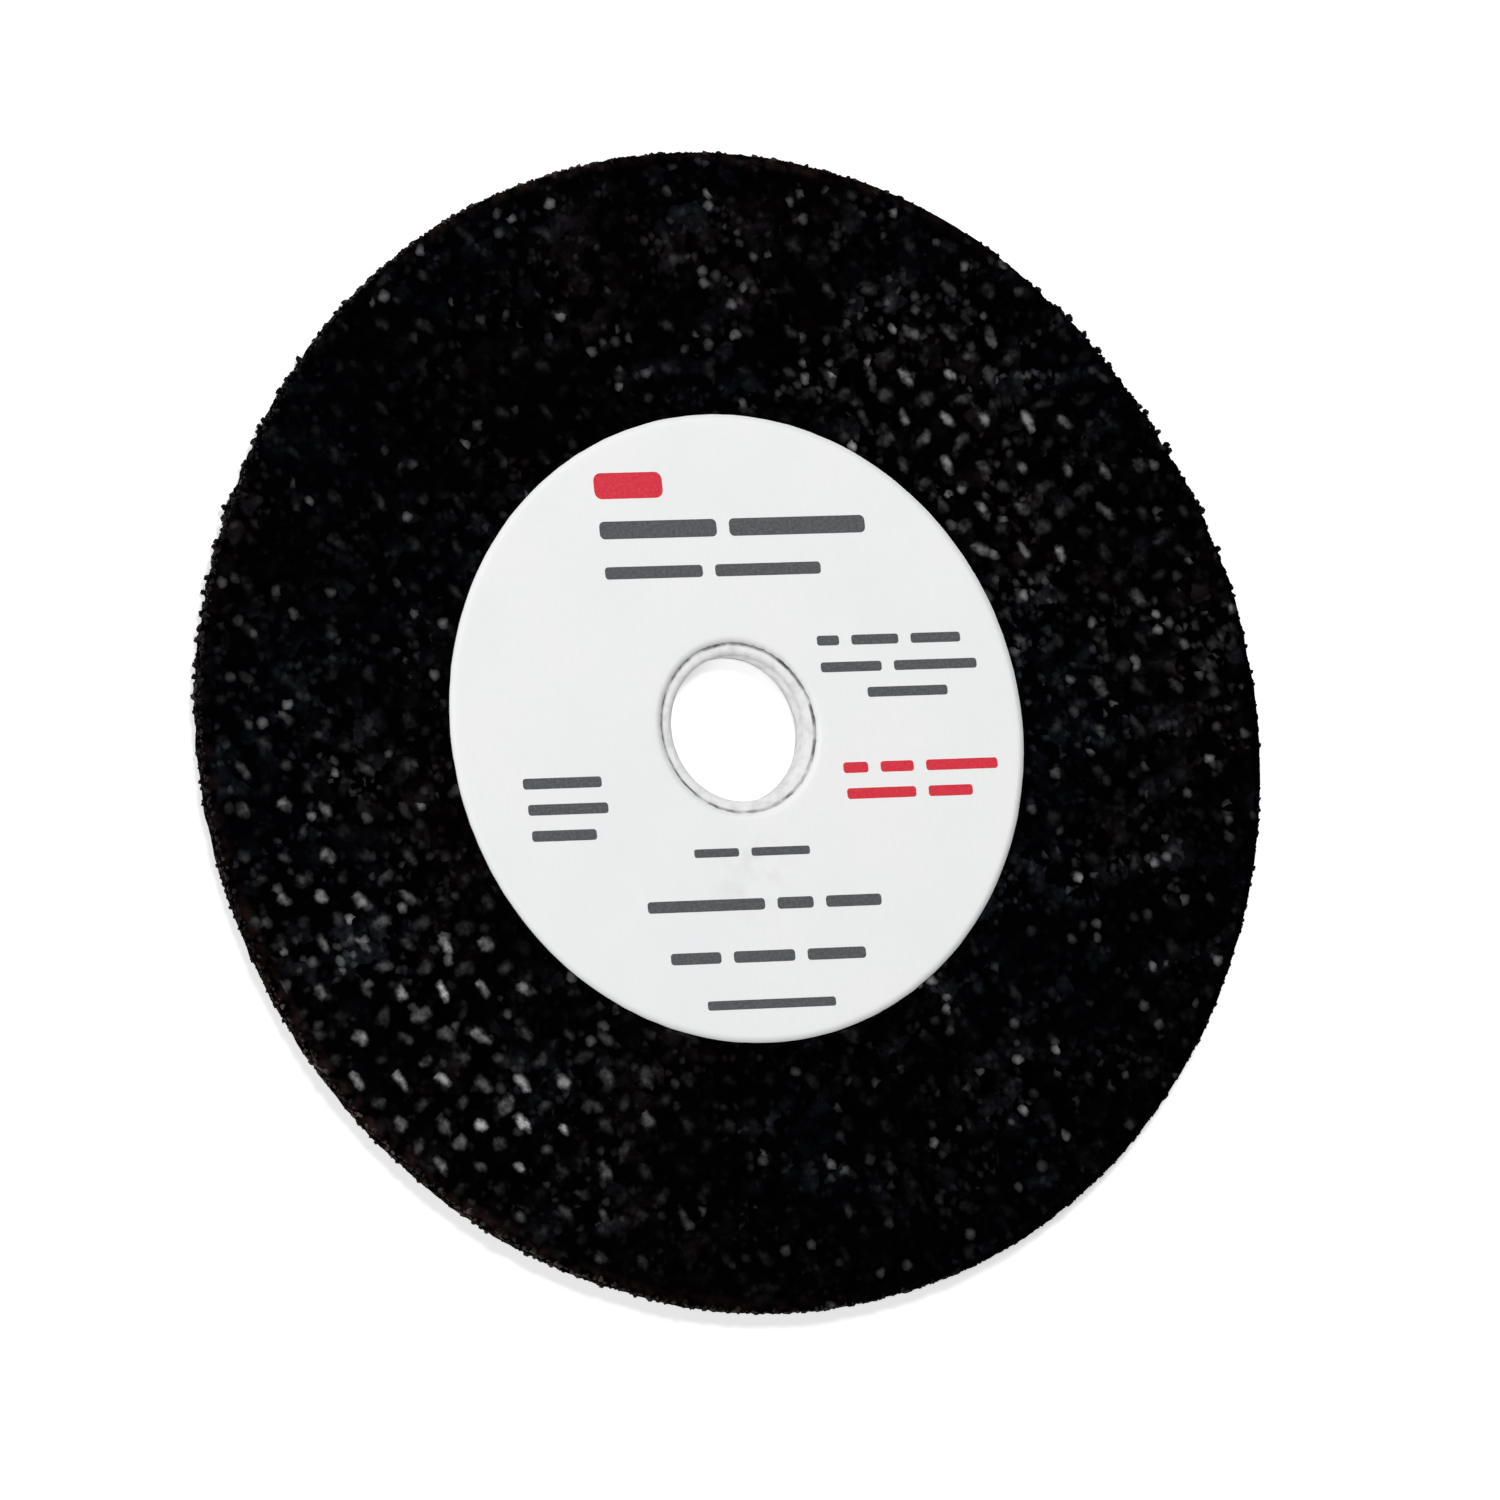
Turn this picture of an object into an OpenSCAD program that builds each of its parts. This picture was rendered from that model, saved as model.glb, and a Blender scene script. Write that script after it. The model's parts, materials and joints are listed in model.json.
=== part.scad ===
// Flat cut-off wheel: a moulded disc of bonded abrasive with a glass cloth in each face,
// and a round paper label pressed into the front face. The wheel lies on its back, with
// its bore along Z. X is the reading direction of the label.

/* [Wheel] */
// Outside diameter of the wheel
wheel_d = 76; // [60:0.5:80]
// Thickness of the wheel over the pressed crests of both faces
wheel_t = 1.6; // [1.2:0.1:3.2]
// Diameter of the arbor hole
bore_d = 9.53; // [6:0.01:16]

/* [Label] */
// Outside diameter of the paper label
label_d = 41.1; // [30:0.1:50]
// Width of the bare ring between the arbor hole and the paper
label_margin = 0.8; // [0.2:0.05:3]
// Thickness of the paper
label_t = 0.2; // [0.1:0.01:0.4]

/* [Glass cloth] */
// Distance between warp yarns
warp_pitch = 2.15; // [2:0.05:3]
// Distance between weft yarns
weft_pitch = 1.95; // [1.8:0.05:3]
// Direction of the warp yarns, in degrees from the reading direction
cloth_angle = -50; // [-90:1:90]
// Height of the pressed crests above the resin between the yarns
weave_h = 0.18; // [0.1:0.01:0.3]
// Height that the flat mould takes off the top of each warp crest
press_h = 0.03; // [0.01:0.01:0.06]
// Distance by which the weft crests stay below the warp crests
weft_drop = 0.04; // [0.01:0.01:0.08]

/* [Hidden] */
$fn = 180;
cut = 1;
back_resin_z = weave_h;
front_resin_z = wheel_t - weave_h;
label_hole_d = bore_d + 2 * label_margin;

// The cloth is a grid of cells, one for each crossing of a warp and a weft yarn.
cols = 2 * ceil(wheel_d / 2 / weft_pitch) + 1;
rows = 2 * ceil(wheel_d / 2 / warp_pitch) + 1;
cell_reach = norm([weft_pitch, warp_pitch]) / 2;
resin_count = (cols + 1) * (rows + 1);
crest_count = cols * rows;

// Place on the grid, counted in cells; whole numbers are the gaps between yarns.
function grid_xy(i, j) = [(i - cols / 2) * weft_pitch, (j - rows / 2) * warp_pitch];
function crossing_r(i, j) = norm(grid_xy(i + 0.5, j + 0.5));

// A crossing shows where its cell reaches the ring between the hub and the rim.
function woven(i, j, hub_d) =
    crossing_r(i, j) > hub_d / 2 - cell_reach && crossing_r(i, j) < wheel_d / 2 + cell_reach;

// The warp lies on top at every second crossing, and the weft at the others.
function warp_on_top(i, j) = (i + j) % 2 == 0;
function crest_rise(i, j) = warp_on_top(i, j) ? press_h : -weft_drop;
function crest_z(i, j, hub_d, face_z, resin_z, out) =
    woven(i, j, hub_d) ? face_z + out * crest_rise(i, j) : resin_z;

// Points in the order front resin, back resin, front crests, back crests.
function resin_points(z) = [for (j = [0:rows], i = [0:cols]) concat(grid_xy(i, j), z)];
function crest_points(hub_d, face_z, resin_z, out) = [
    for (j = [0:rows - 1], i = [0:cols - 1])
        concat(grid_xy(i + 0.5, j + 0.5), crest_z(i, j, hub_d, face_z, resin_z, out))
];
function resin_at(i, j, back) = (back ? resin_count : 0) + j * (cols + 1) + i;
function crest_at(i, j, back) = 2 * resin_count + (back ? crest_count : 0) + j * cols + i;

// A crossing is a low pyramid over its cell, and a cell without one is two triangles.
function turned(face, back) = back ? face : [face[2], face[1], face[0]];
function cell_corners(i, j, back) =
    [resin_at(i, j, back), resin_at(i + 1, j, back), resin_at(i + 1, j + 1, back), resin_at(i, j + 1, back)];
function pyramid(c, top, back) = [for (k = [0:3]) turned([top, c[k], c[(k + 1) % 4]], back)];
function flat_cell(c, back) = [turned([c[0], c[1], c[2]], back), turned([c[0], c[2], c[3]], back)];
function face_cells(hub_d, back) = [
    for (j = [0:rows - 1], i = [0:cols - 1])
        let (c = cell_corners(i, j, back))
        each woven(i, j, hub_d) ? pyramid(c, crest_at(i, j, back), back) : flat_cell(c, back)
];

// One edge wall of the slab, between two neighbouring places on the grid's border.
function wall(i0, j0, i1, j1) = let (
    a = resin_at(i0, j0, false),
    b = resin_at(i1, j1, false),
    c = resin_at(i1, j1, true),
    d = resin_at(i0, j0, true)
) [[a, b, c], [a, c, d]];
function walls() = [
    for (i = [0:cols - 1]) each concat(wall(i, 0, i + 1, 0), wall(i + 1, rows, i, rows)),
    for (j = [0:rows - 1]) each concat(wall(0, j + 1, 0, j), wall(cols, j, cols, j + 1))
];

// Square slab of bonded abrasive with the woven relief on both faces.
module woven_slab() {
    points = concat(
        resin_points(front_resin_z),
        resin_points(back_resin_z),
        crest_points(label_d, wheel_t, front_resin_z, 1),
        crest_points(bore_d, 0, back_resin_z, -1)
    );
    faces = concat(face_cells(label_d, false), face_cells(bore_d, true), walls());
    rotate(cloth_angle) polyhedron(points, faces);
}

// Moulded wheel: the slab pressed flat and cut to the rim, bored, with the label's seat.
module abrasive_disc() {
    color([0.06, 0.06, 0.065]) difference() {
        intersection() {
            woven_slab();
            cylinder(d = wheel_d, h = wheel_t);
        }
        translate([0, 0, -cut]) cylinder(d = bore_d, h = wheel_t + 2 * cut);
        translate([0, 0, front_resin_z]) cylinder(d = label_d, h = weave_h + cut);
    }
}

// Paper ring that lies on the resin, with its top just above the crests of the cloth.
module paper_label() {
    color([0.93, 0.94, 0.94]) translate([0, 0, front_resin_z]) difference() {
        cylinder(d = label_d, h = label_t);
        translate([0, 0, -cut]) cylinder(d = label_hole_d, h = label_t + 2 * cut);
    }
}

abrasive_disc();
paper_label();
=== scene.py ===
"""Looks of a flat cut-off wheel: a rough black bonded disc with woven faces and a white paper label."""

import json
import math

import bmesh
import bpy
import numpy as np
from mathutils import Matrix, Vector


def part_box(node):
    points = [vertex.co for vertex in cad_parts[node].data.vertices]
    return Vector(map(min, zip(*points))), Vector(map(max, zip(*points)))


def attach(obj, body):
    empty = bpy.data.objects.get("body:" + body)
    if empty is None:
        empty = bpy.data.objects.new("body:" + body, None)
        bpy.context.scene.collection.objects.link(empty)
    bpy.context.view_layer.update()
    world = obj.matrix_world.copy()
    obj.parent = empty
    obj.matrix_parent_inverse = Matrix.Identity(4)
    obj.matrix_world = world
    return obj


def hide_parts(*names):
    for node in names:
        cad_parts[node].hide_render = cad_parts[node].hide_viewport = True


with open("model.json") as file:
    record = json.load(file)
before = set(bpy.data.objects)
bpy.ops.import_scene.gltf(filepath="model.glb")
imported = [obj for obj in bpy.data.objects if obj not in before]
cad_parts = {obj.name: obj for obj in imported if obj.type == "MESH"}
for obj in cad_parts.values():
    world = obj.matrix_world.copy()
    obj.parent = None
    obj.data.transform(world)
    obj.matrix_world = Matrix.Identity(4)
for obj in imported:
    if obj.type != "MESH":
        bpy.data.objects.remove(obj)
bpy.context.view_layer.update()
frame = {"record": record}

MM = 0.001

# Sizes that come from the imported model, in millimetres
_, disc_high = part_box("abrasive_disc")
label_low, label_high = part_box("paper_label")
mounts = {mount["name"]: mount for mount in frame["record"]["mounts"]}
RIM_R = disc_high.x / MM
TOP_Z = disc_high.z / MM
SEAT_Z = label_low.z / MM
LABEL_R = label_high.x / MM
LABEL_TOP = label_high.z / MM
BORE_R = mounts["arbor_bore"]["dims"]["r_mm"]
WEAVE_H = TOP_Z - SEAT_Z

# Width of the bare ring between the bore and the paper, as in the part's source
LABEL_MARGIN = 0.8
PAPER_HOLE_R = BORE_R + LABEL_MARGIN

# Seeds of the noises and random draws
FRONT_SEED = 11
BACK_SEED = 51
WANDER_SEEDS = (71, 72)
RIM_SEED = 31
LABEL_SEED = 81
GRAIN_SEED = 7
# What each use of a face's seed adds to it
CHANCE_USE = 2
COARSE_USE = 3
PATCH_USE = 5
FINE_USE = 9
GLINT_USE = 20


# Repeatable noise on the plane, in millimetres

# Large numbers that mix the bits of a place and a seed, and masks for the bits that are kept
HASH_X, HASH_Y, HASH_SEED = 374761393, 668265263, 1274126177
MIX_FIRST, MIX_ADD, MIX_SECOND = 1103515245, 12345, 2246822519
LOW_32 = 0xFFFFFFFF
LOW_24 = 0xFFFFFF

# Facet of a grain: where its middle lies in its cell, its least height and the spread, its tilt, its fall
# from the middle, and the most that is kept
CELL_ENDS = (0.15, 0.85)
FACET_LEAST = 0.35
FACET_SPREAD = 0.5
FACET_TILT = 0.5
FACET_FALL = 0.35
FACET_MOST = 1.2


def between(ends, share):
    """The value that lies a share of the way from one end to the other."""
    return ends[0] + (ends[1] - ends[0]) * share


def hashed(ix, iy, seed):
    """One repeatable random number from 0 to 1 for each whole-number place."""
    n = ix.astype(np.int64) * HASH_X + iy.astype(np.int64) * HASH_Y + seed * HASH_SEED
    n = (n ^ (n >> 13)) & LOW_32
    n = (n * MIX_FIRST + MIX_ADD) & LOW_32
    n = ((n ^ (n >> 16)) * MIX_SECOND) & LOW_32
    return ((n ^ (n >> 15)) & LOW_24) / float(LOW_24 + 1)


def smooth_noise(x, y, size, seed):
    """Soft noise from 0 to 1 with lumps of the given size."""
    u, v = x / size, y / size
    iu, iv = np.floor(u), np.floor(v)
    fu, fv = u - iu, v - iv
    su, sv = fu * fu * (3 - 2 * fu), fv * fv * (3 - 2 * fv)
    low = hashed(iu, iv, seed) * (1 - su) + hashed(iu + 1, iv, seed) * su
    high = hashed(iu, iv + 1, seed) * (1 - su) + hashed(iu + 1, iv + 1, seed) * su
    return low * (1 - sv) + high * sv


def grain(x, y, size, seed):
    """Tilted facets of packed abrasive grains of the given size, from 0 to about 1."""
    iu, iv = np.floor(x / size), np.floor(y / size)
    nearest = np.full(x.shape, np.inf)
    height = np.zeros(x.shape)
    for du in (-1, 0, 1):
        for dv in (-1, 0, 1):
            cu, cv = iu + du, iv + dv
            gx = (cu + between(CELL_ENDS, hashed(cu, cv, seed))) * size
            gy = (cv + between(CELL_ENDS, hashed(cu, cv, seed + 1))) * size
            dx, dy = (x - gx) / size, (y - gy) / size
            away = np.hypot(dx, dy)
            turn = 2 * math.pi * hashed(cu, cv, seed + 2)
            facet = FACET_LEAST + FACET_SPREAD * hashed(cu, cv, seed + 3)
            facet += FACET_TILT * (dx * np.cos(turn) + dy * np.sin(turn))
            closer = away < nearest
            height = np.where(closer, facet - FACET_FALL * away, height)
            nearest = np.where(closer, away, nearest)
    return np.clip(height, 0, FACET_MOST)


# Relief of the moulded faces

# Glass cloth, in millimetres and degrees, as in the part's source
WARP_PITCH = 2.15
WEFT_PITCH = 1.95
CLOTH_ANGLE = -50
# How far the yarns wander, as a share of their pitch, and the length of a bend in millimetres
YARN_WANDER = 0.16
WANDER_LENGTH = 4.0
# How far a crossing strays from its place, in millimetres
CREST_STRAY = 0.30
# Half the length and width of a yarn's crest, where it shows above the other yarn
CREST_HALF_L = 0.86
CREST_HALF_W = 0.62
# Height of a weft crest beside a warp crest, and of the lowest crest beside the highest
WEFT_SHARE = 0.8
CREST_LEAST = 0.62
# Shares of the whole relief: resin, crests and the least that is kept
RESIN_SHARE = 0.03
CREST_SHARE = 0.72
RELIEF_LEAST = 0.02
# Grains on the faces: their share of the relief, and their size in millimetres
COARSE_GRIT = (0.22, 0.62)
FINE_GRIT = (0.16, 0.36)


def wander(x, y, seed):
    """How far a yarn has wandered from its straight line, as a share of its pitch."""
    return YARN_WANDER * (smooth_noise(x, y, WANDER_LENGTH, seed) - 0.5)


def crossing(x, y, seed):
    """The nearest crossing of two yarns: its two numbers, the way to it along and across the warp, and
    whether the warp is on top there."""
    a = math.radians(CLOTH_ANGLE)
    u = (x * math.cos(a) + y * math.sin(a)) / WEFT_PITCH + wander(x, y, WANDER_SEEDS[0])
    v = (-x * math.sin(a) + y * math.cos(a)) / WARP_PITCH + wander(x, y, WANDER_SEEDS[1])
    i, j = np.round(u), np.round(v)
    along = (u - i) * WEFT_PITCH + CREST_STRAY * (hashed(i, j, seed) - 0.5)
    across = (v - j) * WARP_PITCH + CREST_STRAY * (hashed(i, j, seed + 1) - 0.5)
    return i, j, along, across, (i + j) % 2 == 0


def crests(x, y, seed):
    """The upper yarn at the nearest crossing: its dome, which is 1 on top and 0 at its foot, whether it is
    warp, and its chance."""
    i, j, along, across, warp = crossing(x, y, seed)
    half_u = np.where(warp, CREST_HALF_L, CREST_HALF_W)
    half_v = np.where(warp, CREST_HALF_W, CREST_HALF_L)
    dome = 1 - (along / half_u) ** 2 - (across / half_v) ** 2
    return np.maximum(dome, -1), warp, hashed(i, j, seed + CHANCE_USE)


def face_relief(x, y, seed):
    """Height of a face above the resin between the yarns, as a share of the whole relief."""
    dome, warp, chance = crests(x, y, seed)
    height = np.sqrt(np.clip(dome, 0, 1)) * np.where(warp, 1.0, WEFT_SHARE)
    height *= between((CREST_LEAST, 1), chance)
    rough = COARSE_GRIT[0] * grain(x, y, COARSE_GRIT[1], seed + COARSE_USE)
    rough += FINE_GRIT[0] * grain(x, y, FINE_GRIT[1], seed + FINE_USE)
    return np.clip(RESIN_SHARE + CREST_SHARE * height + rough, RELIEF_LEAST, 1)


# Wear of the faces, with painted glints and painted sparkle

# Places where the crests are rubbed bare and carry painted glints, and where the grains carry the most
# painted sparkle: the angle in degrees, the radius in millimetres, how far the place reaches each way along
# both, and its strength
RUBBED_AND_LIT_PLACES = (
    (222, 30.5, 21, 6, 1.0),
    (44, 26, 16, 5, 0.90),
    (193, 31, 14, 5, 0.40),
    (18, 30, 18, 6, 0.15),
)
RUBBED_AND_LIT_EVERYWHERE = 0.028
# Painted sparkle: lobes in which the grains are painted brighter as glints
SPARKLING_PLACES = (
    (33, 30, 44, 10, 0.68),
    (200, 30, 40, 10, 0.25),
    (140, 29, 45, 10, -0.15),
    (44, 26, 15, 5, -0.40),
    (220, 31, 18, 6, -0.20),
)
SPARKLING_EVERYWHERE = 0.27
# Patches of stronger and weaker rubbing: their size in millimetres, their rise above a base, and the least
# and most that is kept
PATCH_SIZE = 5.0
PATCH_RISE = 1.6
PATCH_BASE = 0.1
PATCH_ENDS = (0.55, 1.2)
# Least bareness of a crest and of its painted glint, as a share of the rubbing: where the face is still
# black, and how much more where it is rubbed and lit most
BARE_AND_GLINT_LEAST = 0.04
BARE_AND_GLINT_RISE = 0.40
# How rare the barest crests with the brightest painted glints are, and how bare and bright a weft crest is
# beside a warp crest
BARE_AND_GLINT_STEEP = 1.8
WEFT_RUBBED_AND_LIT = 0.25

# The glassy spot on each crest, bare glass with a painted glint, in millimetres and degrees: half its
# length and width, least and most, its shift along and across the warp, how far it strays and how far it
# turns
GLINT_HALF_L = (0.58, 1.05)
GLINT_HALF_W = (0.38, 0.62)
GLINT_SHIFT = (-0.15, 0.10)
GLINT_STRAY = 0.30
GLINT_TURN = 50
# Random numbers that are used for each glassy spot
GLINT_CHANCES = 6


def in_places(x, y, everywhere, places):
    """Sum of soft places on a face, and of the share that holds everywhere."""
    angle, radius = np.degrees(np.arctan2(y, x)), np.hypot(x, y)
    share = np.full(x.shape, everywhere)
    for at_angle, at_radius, reach_angle, reach_radius, strength in places:
        turn = ((angle - at_angle + 180) % 360 - 180) / reach_angle
        share += strength * np.exp(-turn ** 2 - ((radius - at_radius) / reach_radius) ** 2)
    return np.clip(share, 0, 1)


def rubbed_and_lit(x, y, seed):
    """How far a place has been rubbed and lit, from 0, still black, to 1, with its crests bare and carrying
    painted glints.
    """
    patch = PATCH_RISE * smooth_noise(x, y, PATCH_SIZE, seed + PATCH_USE) + PATCH_BASE
    return np.clip(in_places(x, y, RUBBED_AND_LIT_EVERYWHERE, RUBBED_AND_LIT_PLACES) * np.clip(patch, *PATCH_ENDS), 0, 1)


def glints(x, y, seed):
    """The glassy spot with its painted glint on the nearest crest: 1 in its middle and 0 at its edge, and
    how bare and bright it is.
    """
    i, j, along, across, warp = crossing(x, y, seed)
    chances = [hashed(i, j, seed + GLINT_USE + k) for k in range(GLINT_CHANCES)]
    along = along - GLINT_SHIFT[0] - GLINT_STRAY * (chances[0] - 0.5)
    across = across - GLINT_SHIFT[1] - GLINT_STRAY * (chances[1] - 0.5)
    turn = np.radians(np.where(warp, 0, 90) + GLINT_TURN * (chances[2] - 0.5))
    down = (along * np.cos(turn) + across * np.sin(turn)) / between(GLINT_HALF_L, chances[3])
    over = (across * np.cos(turn) - along * np.sin(turn)) / between(GLINT_HALF_W, chances[4])
    # Rubbing together with the painted light of the lit places, which sets how bright the painted glints
    # are
    worn = rubbed_and_lit(x, y, seed)
    least = BARE_AND_GLINT_LEAST + BARE_AND_GLINT_RISE * worn ** 2
    bare = worn * between((least, 1), chances[5] ** BARE_AND_GLINT_STEEP) * np.where(warp, 1.0, WEFT_RUBBED_AND_LIT)
    return np.maximum(1 - down ** 2 - over ** 2, -1), bare


# The rim: a worn, slightly uneven circle

# Least, usual and most depth below the wheel's own circle, and the rounding of both edges, in millimetres
RIM_LEAST = 0.03
RIM_INSET = 0.11
RIM_MOST = 1.0
EDGE_ROUND = 0.10
# Spots along the rim: the angle and the reach each way in degrees, and the depth or height in millimetres
WORN_SPOTS = (
    (34, 17, 0.33),
    (140, 24, 0.40),
    (153, 11, 0.28),
    (165, 8, 0.12),
    (103, 14, 0.14),
    (250, 9, 0.06),
)
PROUD_SPOTS = ((63, 8, 0.20), (12, 5, 0.08), (335, 22, 0.08))
# Where the rim is more jagged and where it shows brown, in the same way, with a share in the last place
COARSE_SPOTS = ((32, 20, 1.0), (158, 20, 1.0))
BROWN_SPOTS = ((78, 17, 0.8), (112, 16, 0.8), (222, 42, 1.0))
# Unevenness of the rim: the depth and the size of its lumps, in millimetres
RIM_WAVE = (0.10, 11.0)
YARN_ENDS = (0.07, 1.9)
RIM_GRIT = (0.12, 0.8)
JAGGED_GRIT = (0.40, 0.65)
# Scale of the height in the patterns of yarn ends and jagged grains; below 1 it makes their lumps taller
YARN_END_SCALE = 0.6
JAGGED_SCALE = 0.3


def spots(angle, table):
    """Sum of soft spots along the rim."""
    total = np.zeros(angle.shape)
    for centre, width, depth in table:
        away = (np.degrees(angle) - centre + 180) % 360 - 180
        total += depth * np.exp(-(away / width) ** 2)
    return total


def rim_radius(angle, z):
    """Radius of the rim at an angle and a height, never outside the wheel's own circle."""
    along = angle * RIM_R
    wave = RIM_WAVE[0] * (smooth_noise(along, np.zeros_like(along), RIM_WAVE[1], RIM_SEED) - 0.5)
    ends = YARN_ENDS[0] * (smooth_noise(along, YARN_END_SCALE * z, YARN_ENDS[1], RIM_SEED + 1) - 0.5)
    rough = RIM_GRIT[0] * (grain(along, z, RIM_GRIT[1], RIM_SEED + 2) - 0.5)
    jagged = JAGGED_GRIT[0] * spots(angle, COARSE_SPOTS)
    rough += jagged * (grain(along, JAGGED_SCALE * z, JAGGED_GRIT[1], RIM_SEED + 3) - 0.5)
    inset = RIM_INSET + spots(angle, WORN_SPOTS) - spots(angle, PROUD_SPOTS) + wave + ends + rough
    return RIM_R - np.clip(inset, RIM_LEAST, RIM_MOST)


# Meshes made of closed rings of points

def bridge(first, count, start, other):
    """Faces between a ring of points and the next one, which has as many, twice or half as many."""
    if other == count:
        here = np.arange(count)
        after = (here + 1) % count
        return np.stack([first + here, first + after, start + after, start + here], axis=1).tolist()
    if other * 2 == count:
        coarse = np.arange(other)
        near, far = start + coarse, start + (coarse + 1) % other
        left, middle, right = (first + (2 * coarse + step) % count for step in range(3))
        fans = ((left, middle, near), (middle, right, far), (middle, far, near))
        return [face for fan in fans for face in np.stack(fan, axis=1).tolist()]
    return [face[::-1] for face in bridge(start, other, first, count)]


def make_piece(name, points, faces):
    """An object with a mesh through points in millimetres."""
    mesh = bpy.data.meshes.new(name)
    mesh.from_pydata((np.asarray(points) * MM).tolist(), [], faces)
    mesh.validate()
    mesh.update()
    piece = bpy.data.objects.new(name, mesh)
    bpy.context.scene.collection.objects.link(piece)
    return piece


def ring_piece(name, rings):
    """A smooth closed piece through rings of points; the last ring joins the first."""
    starts = np.cumsum([0] + [len(r) for r in rings])
    faces = []
    for k, ring in enumerate(rings):
        after = (k + 1) % len(rings)
        faces += bridge(int(starts[k]), len(ring), int(starts[after]), len(rings[after]))
    piece = make_piece(name, np.concatenate(rings), faces)
    piece.data.shade_smooth()
    return piece


def ring_points(angle, radius, z):
    """Points round the wheel's axis."""
    return np.stack([radius * np.cos(angle), radius * np.sin(angle), z + np.zeros_like(angle)], axis=1)


def spokes(count):
    """Angles that share a full turn evenly."""
    return 2 * math.pi * np.arange(count) / count


def add_values(piece, name, values):
    """A number for each point of a piece, which its material reads by name."""
    attribute = piece.data.attributes.new(name, "FLOAT", "POINT")
    attribute.data.foreach_set("value", values.astype(np.float32))


# The disc's surface laid flat for a bake, in shares of the picture's side: a circle for each face, its
# middle and its radius, and strips one above the other for the rim and the bore wall
FRONT, BACK, RIM, BORE = range(4)
FRONT_CIRCLE = (0.382, 0.382, 0.38)
BACK_CIRCLE = (0.807, 0.807, 0.19)
RIM_STRIPS = 4
STRIP_LEFT = 0.01
STRIP_LOW = 0.80
STRIP_STEP = 0.03
STRIP_LENGTH = 0.58
STRIP_HEIGHT = 0.018


def lay_flat(piece, rings, part_after_ring):
    """Gives the disc its map; each band of faces belongs to the part named for the ring before it."""
    mesh = piece.data
    corner = np.empty(len(mesh.loops), np.int32)
    mesh.loops.foreach_get("vertex_index", corner)
    corners = np.empty(len(mesh.polygons), np.int32)
    mesh.polygons.foreach_get("loop_total", corners)
    first = np.cumsum(corners) - corners
    ring = np.repeat(np.arange(len(rings)), [len(r) for r in rings])[corner]
    low, high = np.minimum.reduceat(ring, first), np.maximum.reduceat(ring, first)
    part = np.repeat(part_after_ring[np.where(high - low > 1, high, low)], corners)

    x, y, z = np.concatenate(rings)[corner].T
    turn = np.arctan2(y, x) / (2 * math.pi) % 1
    start = np.repeat(turn[first], corners)
    turn = start + (turn - start + 0.5) % 1 - 0.5
    strip = np.where(part == RIM, np.floor(start * RIM_STRIPS), RIM_STRIPS)
    along = np.where(part == RIM, turn * RIM_STRIPS - strip, turn)
    u = STRIP_LEFT + STRIP_LENGTH * along
    v = STRIP_LOW + STRIP_STEP * strip + STRIP_HEIGHT * z / TOP_Z
    for face, (u0, v0, r) in ((FRONT, FRONT_CIRCLE), (BACK, BACK_CIRCLE)):
        u = np.where(part == face, u0 + r * x / RIM_R, u)
        v = np.where(part == face, v0 + r * y / RIM_R, v)
    flat = mesh.uv_layers.new(name="OFBake")
    flat.data.foreach_set("uv", np.stack([u, v], axis=1).astype(np.float32).ravel())


# The moulded disc

FINE_SPOKES = 800
FRONT_RINGS = 76
RIM_RINGS = 11
BACK_RINGS = 58
# Heights of the rings on the bore wall, as shares of its height
WALL_SHARES = (0.66, 0.33)
# Distance of the relief and of the seat's outer ring from the label's edge, in millimetres
LABEL_CLEAR = 0.03
# Width beside the rim in which the front's relief falls, and the share of it that is left there
FALL_WIDTH = 0.8
FALL_SHARE = 0.45
# Height of the rim's lower edge, as a share of the relief
RIM_FOOT = 0.6
# How the rounding of the rim sets in towards its edges: the slope, and what is taken off it
ROUND_SLOPE = 2.2
ROUND_START = 1.3
# Widths beside the bore and the rim that have neither painted sparkle nor glassy spots with painted glints,
# in millimetres
PLAIN_AT_BORE = 0.2
PLAIN_AT_RIM = 0.5


def front_rings(fine):
    """Rings of the front face, from the rim to the label."""
    inner_r = LABEL_R + LABEL_CLEAR
    outer_r = rim_radius(fine, np.full_like(fine, TOP_Z)) - EDGE_ROUND
    rings = []
    for k in range(FRONT_RINGS):
        r = outer_r + (inner_r - outer_r) * k / (FRONT_RINGS - 1)
        relief = face_relief(r * np.cos(fine), r * np.sin(fine), FRONT_SEED)
        fall = between((FALL_SHARE, 1), np.clip((outer_r - r) / FALL_WIDTH, 0, 1))
        rings.append(ring_points(fine, r, SEAT_Z + WEAVE_H * relief * fall))
    return rings


def rim_rings(fine, top):
    """Rings of the rim, from the back to the front."""
    bottom = WEAVE_H * RIM_FOOT
    rings = []
    for k in range(RIM_RINGS):
        share = (k + 0.5) / RIM_RINGS
        z = between((bottom, top), share)
        rounding = EDGE_ROUND * np.clip(abs(2 * share - 1) * ROUND_SLOPE - ROUND_START, 0, 1) ** 2
        rings.append(ring_points(fine, rim_radius(fine, z) - rounding, z))
    return rings


def back_rings(coarse):
    """Rings of the back face, from the bore to the rim."""
    outer_r = rim_radius(coarse, np.zeros_like(coarse)) - EDGE_ROUND
    rings = []
    for k in range(BACK_RINGS):
        r = BORE_R + (outer_r - BORE_R) * k / (BACK_RINGS - 1)
        relief = face_relief(r * np.cos(coarse), -r * np.sin(coarse), BACK_SEED)
        rings.append(ring_points(coarse, r, WEAVE_H * (1 - relief)))
    return rings


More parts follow.
